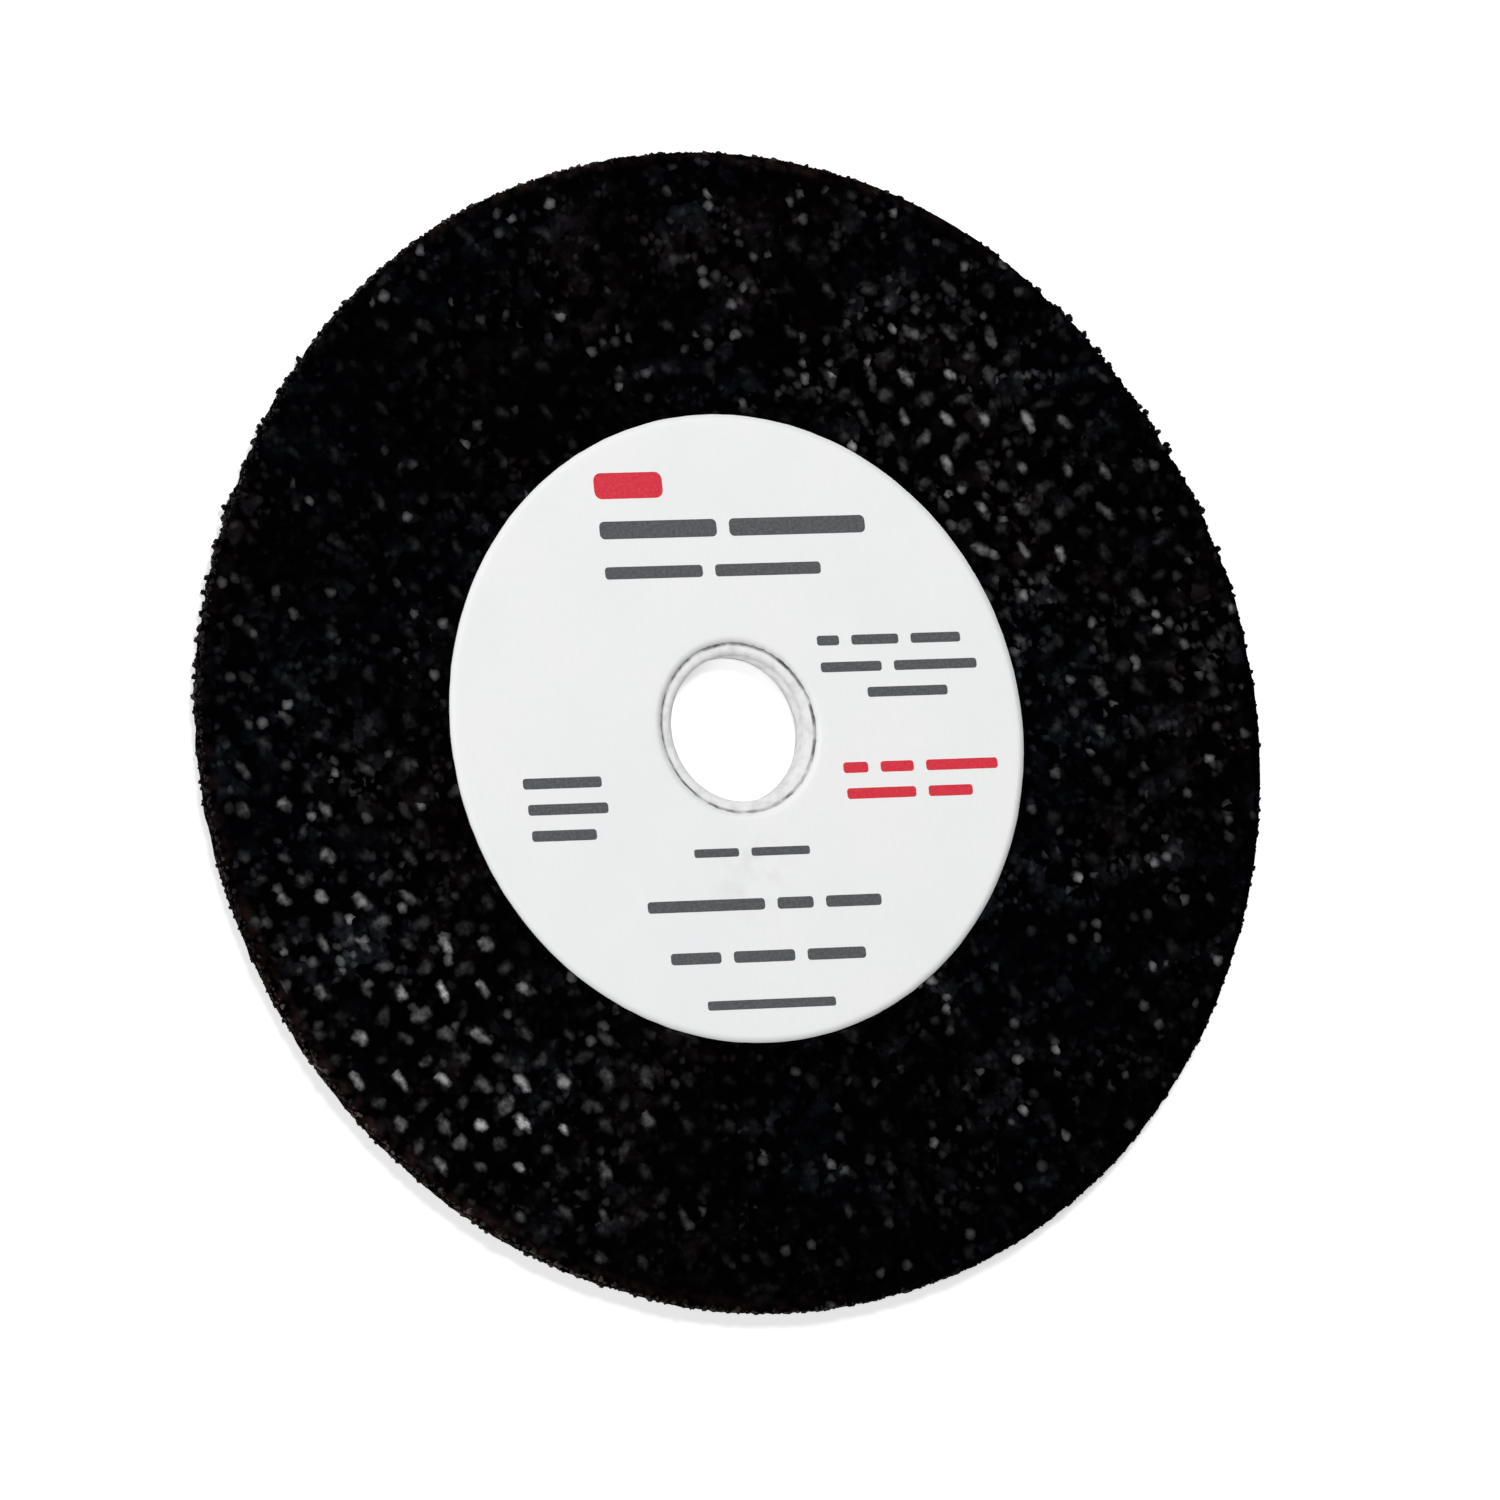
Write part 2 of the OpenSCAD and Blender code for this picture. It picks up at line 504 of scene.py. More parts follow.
def add_wear_and_glints(piece, points):
    """Gives the disc's points their painted sparkle, their glassy spots with painted glints, and their
    brown rim.
    """
    x, y, z = points.T
    radius = np.hypot(x, y)
    on_front = z > TOP_Z / 2
    under_label = on_front & (radius < LABEL_R)
    on_face = (radius > BORE_R + PLAIN_AT_BORE) & (radius < RIM_R - PLAIN_AT_RIM) & ~under_label
    seen_y = np.where(on_front, y, -y)
    # Glassy spots on the crests, partly bare glass and partly painted glints
    glint, bare = glints(x, seen_y, np.where(on_front, FRONT_SEED, BACK_SEED))
    # Painted sparkle of the grains, brighter in the lit lobes
    sparkle = in_places(x, seen_y, SPARKLING_EVERYWHERE, SPARKLING_PLACES)
    add_values(piece, "sparkle", np.where(on_face, sparkle, 0))
    add_values(piece, "glint", np.where(on_face, glint, -1))
    add_values(piece, "bare", np.where(on_face, bare, 0))
    add_values(piece, "brown", spots(np.arctan2(y, x), BROWN_SPOTS))


def make_disc():
    """The moulded disc with the woven relief on both faces, a rough rim and the label's seat."""
    fine, coarse = spokes(FINE_SPOKES), spokes(FINE_SPOKES // 2)
    front = front_rings(fine)
    rim = rim_rings(fine, front[0][:, 2])
    back = back_rings(coarse)
    seat_r = (LABEL_R - LABEL_CLEAR, PAPER_HOLE_R, BORE_R + LABEL_MARGIN / 2, BORE_R)
    seat = [ring_points(coarse, r, SEAT_Z) for r in seat_r]
    wall = [ring_points(coarse, BORE_R, between((WEAVE_H, SEAT_Z), share)) for share in WALL_SHARES]
    rings = seat + wall + back + rim + front
    piece = ring_piece("bonded_disc", rings)
    part_after_ring = [FRONT] * (len(seat) - 1) + [BORE] * (1 + len(wall)) + [BACK] * (len(back) - 1)
    part_after_ring += [RIM] * (1 + len(rim)) + [FRONT] * len(front)
    lay_flat(piece, rings, np.array(part_after_ring))
    add_wear_and_glints(piece, np.concatenate(rings))
    return piece


# Loose-looking grains that stand out of the rim

# Rows of grains, and their distance along a row in millimetres
GRAIN_ROWS = 4
GRAIN_SPACING = 0.46
# Height of the lowest grains, in millimetres
GRAIN_FOOT = 0.16
# Least and most radius of a grain, how rare the large ones are, and how deep a grain lies in the rim
GRAIN_R = (0.12, 0.25)
GRAIN_STEEP = 1.6
GRAIN_SINK = 0.08
# Share of the grains that stand out where the rim is jagged, and how far
STANDING_GRAINS = 0.25
GRAIN_STAND = 0.08
# Least and most stretch of a grain at one of its points and along one of its axes
POINT_STRETCH = (0.75, 1.25)
AXIS_STRETCH = (0.7, 1.3)
# Least distance of a grain from the wheel's own circle and from the planes of its back and front
GRAIN_CLEAR = 0.002
BACK_CLEAR = 0.02
FRONT_CLEAR = 0.01
# Paleness of the darkest grain beside the palest
PALE_LEAST = 0.4


def grain_shape():
    """Points and faces of a grain before it is bent and turned."""
    shape = bmesh.new()
    bmesh.ops.create_icosphere(shape, subdivisions=1, radius=1.0)
    points = np.array([tuple(v.co) for v in shape.verts])
    faces = np.array([[v.index for v in f.verts] for f in shape.faces])
    shape.free()
    return points, faces


def random_turns(draw, count):
    """Rotation matrices from random unit quaternions."""
    q = draw.normal(size=(count, 4))
    w, x, y, z = (q / np.linalg.norm(q, axis=1, keepdims=True)).T
    rows = [[1 - 2 * (y * y + z * z), 2 * (x * y - w * z), 2 * (x * z + w * y)],
            [2 * (x * y + w * z), 1 - 2 * (x * x + z * z), 2 * (y * z - w * x)],
            [2 * (x * z - w * y), 2 * (y * z + w * x), 1 - 2 * (x * x + y * y)]]
    return np.moveaxis(np.array(rows), 2, 0)


def make_rim_grains():
    """Angular grains half sunk in the rim, kept inside the wheel's own circle and thickness."""
    draw = np.random.default_rng(GRAIN_SEED)
    base, faces = grain_shape()
    in_row = int(2 * math.pi * RIM_R / GRAIN_SPACING)
    count = GRAIN_ROWS * in_row
    row = np.repeat(np.arange(GRAIN_ROWS), in_row)
    angle = 2 * math.pi * (np.tile(np.arange(in_row), GRAIN_ROWS) + draw.random(count)) / in_row
    z = between((GRAIN_FOOT, SEAT_Z), (row + draw.random(count)) / GRAIN_ROWS)
    size = between(GRAIN_R, draw.random(count) ** GRAIN_STEEP)
    standing = draw.random(count) < STANDING_GRAINS * spots(angle, COARSE_SPOTS)
    size = np.where(standing, GRAIN_R[1], size)
    centre = ring_points(angle, rim_radius(angle, z) + np.where(standing, GRAIN_STAND, -GRAIN_SINK), z)
    bent = base[None] * between(POINT_STRETCH, draw.random((count, len(base), 1)))
    bent = bent * between(AXIS_STRETCH, draw.random((count, 1, 3)))
    turned = np.einsum("nij,nkj->nki", random_turns(draw, count), bent)
    points = (centre[:, None] + size[:, None, None] * turned).reshape(-1, 3)
    points[:, :2] *= np.minimum(1, (RIM_R - GRAIN_CLEAR) / np.hypot(points[:, 0], points[:, 1]))[:, None]
    points[:, 2] = np.clip(points[:, 2], BACK_CLEAR, TOP_Z - FRONT_CLEAR)
    all_faces = (faces[None] + len(base) * np.arange(count)[:, None, None]).reshape(-1, 3)
    piece = make_piece("rim_grains", points, all_faces.tolist())
    pale = between((PALE_LEAST, 1), draw.random(count))
    add_values(piece, "pale", np.repeat(pale, len(base)))
    add_values(piece, "brown", np.repeat(spots(angle, BROWN_SPOTS), len(base)))
    return piece


# The paper label, in millimetres

LABEL_SPOKES = 480
LABEL_RINGS = 34
# Distance of the paper from its seat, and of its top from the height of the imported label
LABEL_GAP = 0.015
LABEL_SINK = 0.012
PAPER_TOP = LABEL_TOP - LABEL_SINK
# Ragged edges of the paper: the depth and the size of the lumps; the outer edge also stays back a little
LABEL_INSET = 0.02
OUTER_RAGGED = (0.03, 0.8)
INNER_RAGGED = (0.05, 0.7)
# How far the cloth and uneven glue swell the paper, the size of the lumps, and the drop at both edges
LABEL_SWELL = 0.004
SWELL_SIZE = 3.0
EDGE_DROP = 0.03


def make_label():
    """The paper ring, with the cloth just telling through it and softly cut edges."""
    angle = spokes(LABEL_SPOKES)
    along, across = angle * LABEL_R, np.zeros_like(angle)
    outer = LABEL_R - LABEL_INSET
    outer -= OUTER_RAGGED[0] * smooth_noise(along, across, OUTER_RAGGED[1], LABEL_SEED)
    inner = PAPER_HOLE_R + INNER_RAGGED[0] * smooth_noise(along, across, INNER_RAGGED[1], LABEL_SEED + 1)
    rings = []
    for k in range(LABEL_RINGS):
        r = inner + (outer - inner) * k / (LABEL_RINGS - 1)
        x, y = r * np.cos(angle), r * np.sin(angle)
        dome = np.clip(crests(x, y, FRONT_SEED)[0], 0, 1)
        swell = LABEL_SWELL * (dome + smooth_noise(x, y, SWELL_SIZE, LABEL_SEED + 2) - 1)
        drop = EDGE_DROP if k in (0, LABEL_RINGS - 1) else 0.0
        rings.append(ring_points(angle, r, PAPER_TOP + swell - drop))
    base = SEAT_Z + LABEL_GAP
    rings.append(ring_points(angle, outer, base))
    rings.append(ring_points(angle, inner, base))
    return ring_piece("label_sheet", rings[::-1])


# Print on the label: plain bars in rows. Each row is its left end, its middle height, the bar's height
# and the lengths of its bars, in millimetres on the label.

GREY_ROWS = (
    (-8.6, 13.1, 1.15, (8.4, 9.8)),
    (-8.5, 10.3, 0.80, (7.0, 7.6)),
    (6.2, 5.5, 0.65, (1.6, 3.4, 3.6)),
    (6.3, 3.75, 0.65, (4.4, 6.0)),
    (9.5, 2.05, 0.65, (5.8,)),
    (-15.8, -3.2, 0.70, (5.6,)),
    (-15.6, -4.9, 0.70, (5.7,)),
    (-15.5, -6.6, 0.70, (4.6,)),
    (-4.1, -8.1, 0.55, (3.2, 4.2)),
    (-7.8, -11.5, 0.75, (8.4, 2.6, 4.0)),
    (-6.5, -14.9, 0.75, (3.6, 4.4, 4.2)),
    (-4.2, -18.0, 0.60, (9.2,)),
)
RED_ROWS = (
    (-8.7, 16.0, 1.70, (4.9,)),
    (7.2, -2.85, 0.70, (1.8, 2.4, 5.2)),
    (7.3, -4.55, 0.70, (5.0, 3.2)),
)
BAR_GAP = 0.9
# How far the ink stands above the paper's top and how deep it goes into the paper
INK_RISE = 0.008
INK_DEPTH = 0.04
# Radius of a bar's corners, as a share of its smaller side, and the steps round each of them
CORNER_SHARE = 0.3
CORNER_STEPS = 4


def bar(x, y, length, height):
    """A flat closed bar with round corners: its points and faces."""
    r = min(height, length) * CORNER_SHARE
    outline = []
    for cx, cy, start in ((length - r, height / 2 - r, 0), (r, height / 2 - r, 90),
                          (r, r - height / 2, 180), (length - r, r - height / 2, 270)):
        for step in range(CORNER_STEPS + 1):
            a = math.radians(start + 90 * step / CORNER_STEPS)
            outline.append((x + cx + r * math.cos(a), y + cy + r * math.sin(a)))
    count = len(outline)
    points = [(px, py, z) for z in (PAPER_TOP - INK_DEPTH, PAPER_TOP + INK_RISE) for px, py in outline]
    sides = [(k, (k + 1) % count, count + (k + 1) % count, count + k) for k in range(count)]
    return points, sides + [tuple(range(count))[::-1], tuple(range(count, 2 * count))]


def make_print(name, rows):
    """All bars of one ink."""
    points, faces = [], []
    for left, middle, height, lengths in rows:
        x = left
        for length in lengths:
            more, joins = bar(x, middle, length, height)
            faces += [tuple(k + len(points) for k in face) for face in joins]
            points += more
            x += length + BAR_GAP
    return make_piece(name, points, faces)


# Materials

# Share of a speck's reach in which it is at full strength
SPECK_CORE = 0.2


class Nodes:
    """A small helper that adds and links the nodes of one material."""

    def __init__(self, name):
        self.material = bpy.data.materials.new(name)
        self.material.use_nodes = True
        self.tree = self.material.node_tree
        self.shader = self.tree.nodes["Principled BSDF"]

    def add(self, kind, **values):
        """A node with some of its settings or inputs set."""
        node = self.tree.nodes.new(kind)
        for key, value in values.items():
            if hasattr(node, key):
                setattr(node, key, value)
            else:
                node.inputs[key].default_value = value
        return node

    def link(self, source, target):
        """Joins an output to an input."""
        self.tree.links.new(source, target)

    def drive(self, socket, source):
        """Links a value to one of the shader's own inputs."""
        self.link(source, self.shader.inputs[socket])

    def set(self, **values):
        """Sets constants on the shader's own inputs."""
        for key, value in values.items():
            self.shader.inputs[key.replace("_", " ")].default_value = value

    def place(self):
        """Object coordinates in millimetres."""
        coords = self.add("ShaderNodeTexCoord")
        scale = self.add("ShaderNodeVectorMath", operation="SCALE")
        scale.inputs["Scale"].default_value = 1 / MM
        self.link(coords.outputs["Object"], scale.inputs[0])
        return scale.outputs["Vector"]

    def stretched(self, place, angle, length):
        """Coordinates in which patterns grow longer along a direction, given in degrees."""
        node = self.add("ShaderNodeMapping", vector_type="TEXTURE")
        node.inputs["Rotation"].default_value = (0, 0, math.radians(angle))
        node.inputs["Scale"].default_value = (length, 1, 1)
        self.link(place, node.inputs["Vector"])
        return node.outputs["Vector"]

    def shaken(self, place, scale, amount):
        """Coordinates shaken by noise, so that patterns lose their even shapes."""
        noise = self.add("ShaderNodeTexNoise", Scale=scale, Detail=2.0)
        self.link(place, noise.inputs["Vector"])
        shift = self.add("ShaderNodeVectorMath", operation="MULTIPLY_ADD")
        shift.inputs[1].default_value = (amount, amount, amount)
        self.link(noise.outputs["Color"], shift.inputs[0])
        self.link(place, shift.inputs[2])
        return shift.outputs["Vector"]

    def value(self, name):
        """A number stored on the mesh's points."""
        return self.add("ShaderNodeAttribute", attribute_name=name).outputs["Fac"]

    def radius(self, place):
        """Distance from the wheel's axis."""
        flat = self.add("ShaderNodeVectorMath", operation="MULTIPLY")
        flat.inputs[1].default_value = (1, 1, 0)
        self.link(place, flat.inputs[0])
        length = self.add("ShaderNodeVectorMath", operation="LENGTH")
        self.link(flat.outputs["Vector"], length.inputs[0])
        return length.outputs["Value"]

    def distance(self, place, middle):
        """Distance from a fixed point."""
        node = self.add("ShaderNodeVectorMath", operation="DISTANCE")
        node.inputs[1].default_value = middle
        self.link(place, node.inputs[0])
        return node.outputs["Value"]

    def along(self, place, axis):
        """One coordinate, by the letter of its axis."""
        split = self.add("ShaderNodeSeparateXYZ")
        self.link(place, split.inputs["Vector"])
        return split.outputs[axis]

    def noise(self, place, scale, detail):
        """Soft noise, with lumps of about 1 / scale millimetres."""
        node = self.add("ShaderNodeTexNoise", Scale=scale, Detail=detail)
        self.link(place, node.inputs["Vector"])
        return node.outputs["Fac"]

    def cells(self, place, scale):
        """Angular cells: two random numbers for each, and the distance from its middle."""
        node = self.add("ShaderNodeTexVoronoi", Scale=scale)
        self.link(place, node.inputs["Vector"])
        split = self.add("ShaderNodeSeparateColor")
        self.link(node.outputs["Color"], split.inputs["Color"])
        return split.outputs["Red"], split.outputs["Green"], node.outputs["Distance"]

    def specks(self, place, scale, least, steep, reach):
        """Soft specks in some of the cells: least is the share of cells without any, steep makes the bright
        ones rarer, and reach is how far they go from the middle of a cell of size 1."""
        tone, _, away = self.cells(place, scale)
        strength = self.math("POWER", self.ramp(tone, least, 1.0), steep)
        return self.times(strength, self.ramp(away, reach, SPECK_CORE * reach))

    def ramp(self, value, start, stop, low=0.0, high=1.0):
        """Turns start to stop into low to high, and holds both ends."""
        node = self.add("ShaderNodeMapRange")
        node.inputs["From Min"].default_value = start
        node.inputs["From Max"].default_value = stop
        node.inputs["To Min"].default_value = low
        node.inputs["To Max"].default_value = high
        self.link(value, node.inputs["Value"])
        return node.outputs["Result"]

    def mix(self, share, first, second):
        """A colour that lies a share of the way from the first to the second."""
        node = self.add("ShaderNodeMix", data_type="RGBA")
        self.link(share, node.inputs["Factor"])
        colours = [s for s in node.inputs if s.type == "RGBA"]
        for socket, value in zip(colours, (first, second)):
            if isinstance(value, tuple):
                socket.default_value = (*value, 1)
            else:
                self.link(value, socket)
        return [s for s in node.outputs if s.type == "RGBA"][0]

    def math(self, operation, first, second):
        """One operation on two values, each a number or a socket."""
        node = self.add("ShaderNodeMath", operation=operation)
        for socket, value in zip(node.inputs, (first, second)):
            if isinstance(value, (int, float)):
                socket.default_value = value
            else:
                self.link(value, socket)
        return node.outputs["Value"]

    def times(self, first, second):
        """The product of two values."""
        return self.math("MULTIPLY", first, second)

    def bump(self, height, strength, distance):
        """Fine relief below the size of the mesh, with its distance in millimetres."""
        node = self.add("ShaderNodeBump", Strength=strength, Distance=distance * MM)
        self.link(height, node.inputs["Height"])
        self.drive("Normal", node.outputs["Normal"])


# The bonded abrasive

# Colours in a warm and a cool tint: the resin, broad facets and fine grains, the grains lighter as painted
# glints
RESIN = ((0.0008, 0.0004, 0.0006), (0.0005, 0.0005, 0.0009))
FACETS = ((0.035, 0.032, 0.036), (0.029, 0.036, 0.045))
FINE_GRAIN_GLINTS = ((0.110, 0.103, 0.107), (0.095, 0.104, 0.122))
# Colours in one tint; the first two are painted glints on sharp grains and bare glass with painted glints
# on the crests
SHARP_GRAIN_GLINTS = (0.30, 0.30, 0.31)
BARE_GLASS_AND_GLINT = (0.66, 0.66, 0.67)
RIM_BLACK = (0.0014, 0.0009, 0.0010)
RIM_BROWN = (0.017, 0.0095, 0.0090)
RIM_PALE = (0.095, 0.075, 0.071)
CHALK = (0.82, 0.82, 0.825)
# Painted shadow of the paper's inner edge on the bare ring
PAPER_EDGE_SHADOW = (0.07, 0.07, 0.075)

# Direction in which the grey streaks of the faces run, in degrees, and their length beside their width
STREAK_ANGLE = 18
STREAK_LENGTH = 2.4
# How ragged the glassy spots with their painted glints are, and how fast they fade towards their edges
GLINT_RAGGED = 1.8
GLINT_STEEP = 2.4
# Where a colour starts and where it is full, in millimetres: below the rim, outside the bore, and outside
# and inside the hole in the paper, the last for the painted shadow along its edge
RIM_BAND = (1.0, 0.4)
WALL_BAND = (0.10, 0.02)
UNDER_PAPER = (0.4, 0.3)
PAPER_EDGE = (0.24, 0.12)
# The same for the front half of the disc, in shares of its height
FRONT_BAND = (0.4, 0.5)


def grain_colour(n, place):
    """Black resin with three kinds of grains, lightened as painted glints, most where the face's painted
    sparkle is strongest.
    """
    tint = n.ramp(n.noise(place, scale=0.07, detail=2.0), 0.42, 0.58)
    streaks = n.noise(n.stretched(place, STREAK_ANGLE, STREAK_LENGTH), scale=0.35, detail=3.0)
    # Where the grains show: in grey streaks, and more in the painted sparkle
    streaks_and_sparkle = n.times(n.ramp(streaks, 0.44, 0.66, low=0.08), n.value("sparkle"))

    broad = n.shaken(place, scale=1.0, amount=0.9)
    facets = n.times(n.specks(broad, scale=0.8, least=0.56, steep=1.3, reach=1.15), streaks_and_sparkle)
    facets = n.times(facets, n.ramp(n.noise(place, scale=1.8, detail=2.0), 0.36, 0.56, low=0.35))
    colour = n.mix(facets, n.mix(tint, *RESIN), n.mix(tint, *FACETS))

    narrow = n.shaken(place, scale=1.6, amount=0.5)
    fine = n.times(n.specks(narrow, scale=2.0, least=0.58, steep=2.6, reach=0.75), streaks_and_sparkle)
    colour = n.mix(fine, colour, n.mix(tint, *FINE_GRAIN_GLINTS))
    # Sharp grains painted as bright glints
    sharp = n.specks(narrow, scale=1.05, least=0.84, steep=1.6, reach=0.46)
    return n.mix(n.times(sharp, n.ramp(streaks_and_sparkle, 0.0, 0.4, low=0.18)), colour, SHARP_GRAIN_GLINTS)


def bare_and_glinting_crests(n, place):
    """How far the glass and its painted glint show: a ragged spot on each rubbed crest in the lit places.
    """
    ragged = n.math("SUBTRACT", n.noise(place, scale=1.8, detail=2.0), 0.5)
    spot = n.math("ADD", n.value("glint"), n.times(ragged, GLINT_RAGGED))
    return n.times(n.value("bare"), n.math("POWER", n.ramp(spot, -0.1, 1.1), GLINT_STEEP))


def rim_and_bore(n, place, colour):
    """Adds the brown places of the rim, the chalky bore and a painted shadow along the paper's edge."""
    radius = n.radius(place)
    rim = n.times(n.ramp(radius, *(RIM_R - depth for depth in RIM_BAND)), n.value("brown"))
    brown = n.times(rim, n.ramp(n.noise(place, scale=1.1, detail=4.0), 0.42, 0.70))
    colour = n.mix(brown, colour, RIM_BROWN)

    front = n.ramp(n.along(place, "Z"), *(TOP_Z * share for share in FRONT_BAND))
    wall = n.ramp(radius, *(BORE_R + width for width in WALL_BAND))
    hole = n.ramp(radius, *(PAPER_HOLE_R + width for width in UNDER_PAPER))
    bore = n.times(hole, n.math("MAXIMUM", front, wall))
    chalky = n.ramp(n.noise(place, scale=1.3, detail=3.0), 0.32, 0.55, low=0.84)
    colour = n.mix(n.times(bore, chalky), colour, CHALK)

    # Painted shadow along the paper's inner edge, on the bare ring below it
    edge_shadow = n.times(bore, n.ramp(radius, *(PAPER_HOLE_R - width for width in PAPER_EDGE)))
    patchy = n.ramp(n.noise(place, scale=0.9, detail=3.0), 0.38, 0.62, low=0.25, high=0.9)
    return n.mix(n.times(edge_shadow, patchy), colour, PAPER_EDGE_SHADOW)


def abrasive_material():
    """Black resin and grains, with pale glassy crests where the cloth is rubbed bare, lightened as painted
    glints in the lit places.
    """
    n = Nodes("bonded_abrasive")
    place = n.place()
    # Glassy crests: bare glass with painted glints; the same share also drives the real coat
    glinting_crest = bare_and_glinting_crests(n, place)
    colour = n.mix(glinting_crest, grain_colour(n, place), BARE_GLASS_AND_GLINT)
    n.drive("Base Color", rim_and_bore(n, place, colour))
    _, gloss, _ = n.cells(place, scale=2.6)
    n.drive("Roughness", n.ramp(gloss, 0.0, 1.0, low=0.45, high=0.75))
    n.drive("Coat Weight", glinting_crest)
    n.set(Specular_IOR_Level=0.0, Coat_Roughness=0.28, Coat_IOR=1.5)
    n.bump(n.noise(place, scale=5.0, detail=4.0), strength=0.5, distance=0.05)
    return n.material


def grain_material():
    """Dark grains of the rim, in places brown, and some of those pale and pinkish."""
    n = Nodes("rim_grain")
    place = n.place()
    brown = n.value("brown")
    speck = n.times(brown, n.ramp(n.noise(place, scale=0.9, detail=3.0), 0.42, 0.70))
    patchy = n.times(brown, n.ramp(n.noise(place, scale=0.6, detail=3.0), 0.50, 0.68))
    pale = n.times(n.value("pale"), patchy)
    n.drive("Base Color", n.mix(pale, n.mix(speck, RIM_BLACK, RIM_BROWN), RIM_PALE))
    n.drive("Roughness", n.ramp(speck, 0.0, 1.0, low=0.45, high=0.65))
    n.set(Specular_IOR_Level=0.06)
    n.bump(n.noise(place, scale=9.0, detail=3.0), strength=0.3, distance=0.03)
    return n.material


# The paper and its inks

PAPER_COOL = (0.84, 0.855, 0.86)
PAPER_WARM = (0.87, 0.87, 0.865)
PAPER_FIBRE = (0.81, 0.82, 0.825)
SMUDGE = (0.70, 0.70, 0.68)
# Direction of the fibres in degrees, and their length beside their width
FIBRE_ANGLE = 90
FIBRE_LENGTH = 4.0
# Middle of the smudge on the label, and how far from it the smudge starts and is full, in millimetres
SMUDGE_PLACE = (0.0, -9.8, 1.6)
SMUDGE_BAND = (3.6, 0.6)
# Each ink where it is full and where it is worn
GREY_INK = ((0.075, 0.08, 0.085), (0.19, 0.195, 0.20))
RED_INK = ((0.66, 0.024, 0.046), (0.72, 0.09, 0.11))


def paper_material():
    """White paper with fine fibres and a faint smudge."""
    n = Nodes("label_paper")
    place = n.place()
    fibre = n.noise(n.stretched(place, FIBRE_ANGLE, FIBRE_LENGTH), scale=6.0, detail=5.0)
    cloud = n.noise(place, scale=0.14, detail=2.0)
    colour = n.mix(n.ramp(cloud, 0.3, 0.7), PAPER_COOL, PAPER_WARM)
    colour = n.mix(n.ramp(fibre, 0.35, 0.75, high=0.35), colour, PAPER_FIBRE)
    patchy = n.ramp(n.noise(place, scale=0.8, detail=4.0), 0.42, 0.70)
    smudged = n.times(n.ramp(n.distance(place, SMUDGE_PLACE), *SMUDGE_BAND, high=0.6), patchy)
    n.drive("Base Color", n.mix(smudged, colour, SMUDGE))
    n.drive("Roughness", n.ramp(fibre, 0.2, 0.8, low=0.62, high=0.78))
    n.set(Specular_IOR_Level=0.2)
    n.bump(fibre, strength=0.12, distance=0.02)
    return n.material


def ink_material(name, full, worn):
    """Printing ink, a little uneven where the paper's fibres show through."""
    n = Nodes(name)
    place = n.place()
    patchy = n.ramp(n.noise(place, scale=5.0, detail=4.0), 0.40, 0.75, high=0.45)
    n.drive("Base Color", n.mix(patchy, full, worn))
    n.drive("Roughness", n.ramp(n.noise(place, scale=9.0, detail=2.0), 0.3, 0.7, low=0.50, high=0.65))
    n.set(Specular_IOR_Level=0.2)
    return n.material


# The pieces in their places

def dress(piece, material, slot, *nodes):
    """Gives a piece its material and body, and hides the nodes that it replaces. The slot is not used."""
    piece.data.materials.append(material)
    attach(piece, "root")
    if nodes:
        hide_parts(*nodes)


dress(make_disc(), abrasive_material(), "bonded_abrasive", "abrasive_disc")
dress(make_rim_grains(), grain_material(), "bonded_abrasive")
dress(make_label(), paper_material(), "label_paper", "paper_label")
dress(make_print("print_grey", GREY_ROWS), ink_material("grey_ink", *GREY_INK), "label_paper")
dress(make_print("print_red", RED_ROWS), ink_material("red_ink", *RED_INK), "label_paper")


# Floor and light

# Side of the floor in metres, its two tones, and its glow as the camera sees it
FLOOR_SIZE = 40.0
FLOOR_DARK = (0.90, 0.90, 0.90)
FLOOR_PALE = (0.92, 0.92, 0.92)
FLOOR_GLOW = 0.45
WHITE = (1, 1, 1, 1)


def floor_material():
    """A pale floor that the camera sees as white outside the shadow."""
    n = Nodes("pale_floor")
    cloud = n.noise(n.place(), scale=0.004, detail=2.0)
    n.drive("Base Color", n.mix(n.ramp(cloud, 0.3, 0.7), FLOOR_DARK, FLOOR_PALE))
    n.set(Roughness=0.9, Specular_IOR_Level=0.0, Emission_Color=WHITE)
    path = n.add("ShaderNodeLightPath").outputs
    mirrored = n.math("MAXIMUM", path["Is Glossy Ray"], path["Is Transmission Ray"])
    seen = n.math("MAXIMUM", path["Is Camera Ray"], mirrored)
    n.drive("Emission Strength", n.times(seen, FLOOR_GLOW))
    return n.material


def make_floor():
    """A square floor under the wheel."""
    mesh = bpy.data.meshes.new("floor")
    h = FLOOR_SIZE / 2
    mesh.from_pydata([(-h, -h, 0), (h, -h, 0), (h, h, 0), (-h, h, 0)], [], [(0, 1, 2, 3)])
    floor = bpy.data.objects.new("floor", mesh)
    bpy.context.scene.collection.objects.link(floor)
    floor.data.materials.append(floor_material())


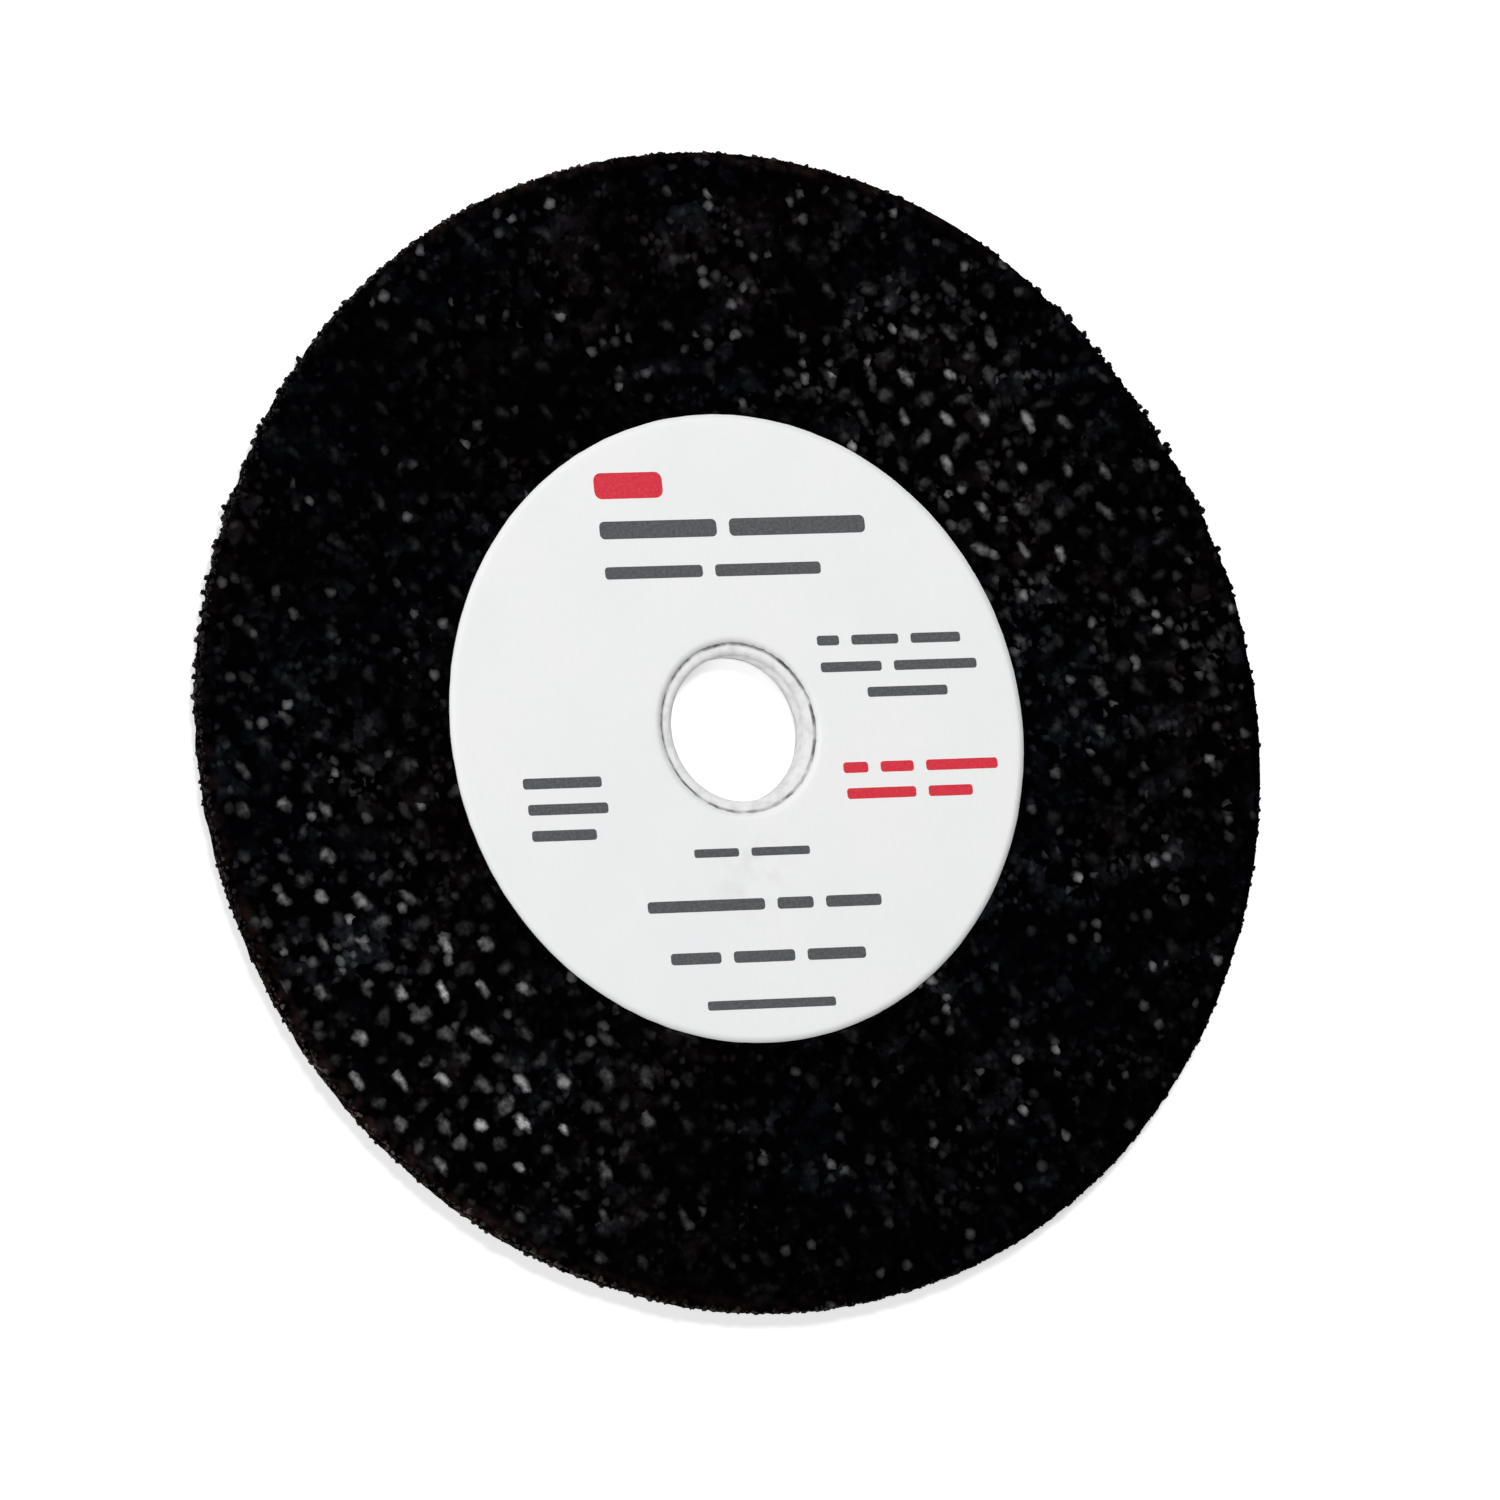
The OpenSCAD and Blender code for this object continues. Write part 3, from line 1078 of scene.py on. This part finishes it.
def soft_box(name, where, size, power):
    """A square lamp that faces the wheel."""
    lamp = bpy.data.lights.new(name, "AREA")
    lamp.shape = "SQUARE"
    lamp.size = size
    lamp.energy = power
    holder = bpy.data.objects.new(name, lamp)
    holder.location = where
    holder.rotation_euler = (-Vector(where)).to_track_quat("-Z", "Y").to_euler()
    bpy.context.scene.collection.objects.link(holder)


def make_world(strength):
    """Even white light from all sides."""
    world = bpy.data.worlds.new("studio")
    world.use_nodes = True
    background = world.node_tree.nodes["Background"]
    background.inputs["Color"].default_value = WHITE
    background.inputs["Strength"].default_value = strength
    bpy.context.scene.world = world


# Camera, from the ellipses of the label and the rim in the photograph: angles in degrees, lens and sensor
# in millimetres, distance and aim in metres
CAMERA_AZIMUTH = -73.7
CAMERA_ELEVATION = 62.5
CAMERA_ROLL = 69.8
CAMERA_LENS = 400
CAMERA_SENSOR = 36
CAMERA_DISTANCE = 1.0752
CAMERA_AIM = (1.02 * MM, -1.36 * MM, 0.8 * MM)


def make_camera():
    """The camera at the photograph's viewing angle."""
    a, e, q = (math.radians(v) for v in (CAMERA_AZIMUTH, CAMERA_ELEVATION, CAMERA_ROLL))
    back = Vector((math.sin(a) * math.cos(e), -math.cos(a) * math.cos(e), math.sin(e)))
    level = Vector((math.cos(a), math.sin(a), 0))
    rise = back.cross(level)
    right = math.cos(q) * level + math.sin(q) * rise
    up = -math.sin(q) * level + math.cos(q) * rise
    turn = Matrix((right, up, back)).transposed().to_4x4()
    lens = bpy.data.cameras.new("camera")
    lens.lens = CAMERA_LENS
    lens.sensor_width = CAMERA_SENSOR
    holder = bpy.data.objects.new("camera", lens)
    holder.matrix_world = Matrix.Translation(Vector(CAMERA_AIM) + CAMERA_DISTANCE * back) @ turn
    bpy.context.scene.collection.objects.link(holder)
    bpy.context.scene.camera = holder


make_floor()
soft_box("key", where=(0.10, 0.45, 0.62), size=0.30, power=4.8)
soft_box("fill", where=(-0.55, -0.30, 0.40), size=0.40, power=3.4)
make_world(strength=0.06)
make_camera()
bpy.context.scene.view_settings.view_transform = "Standard"
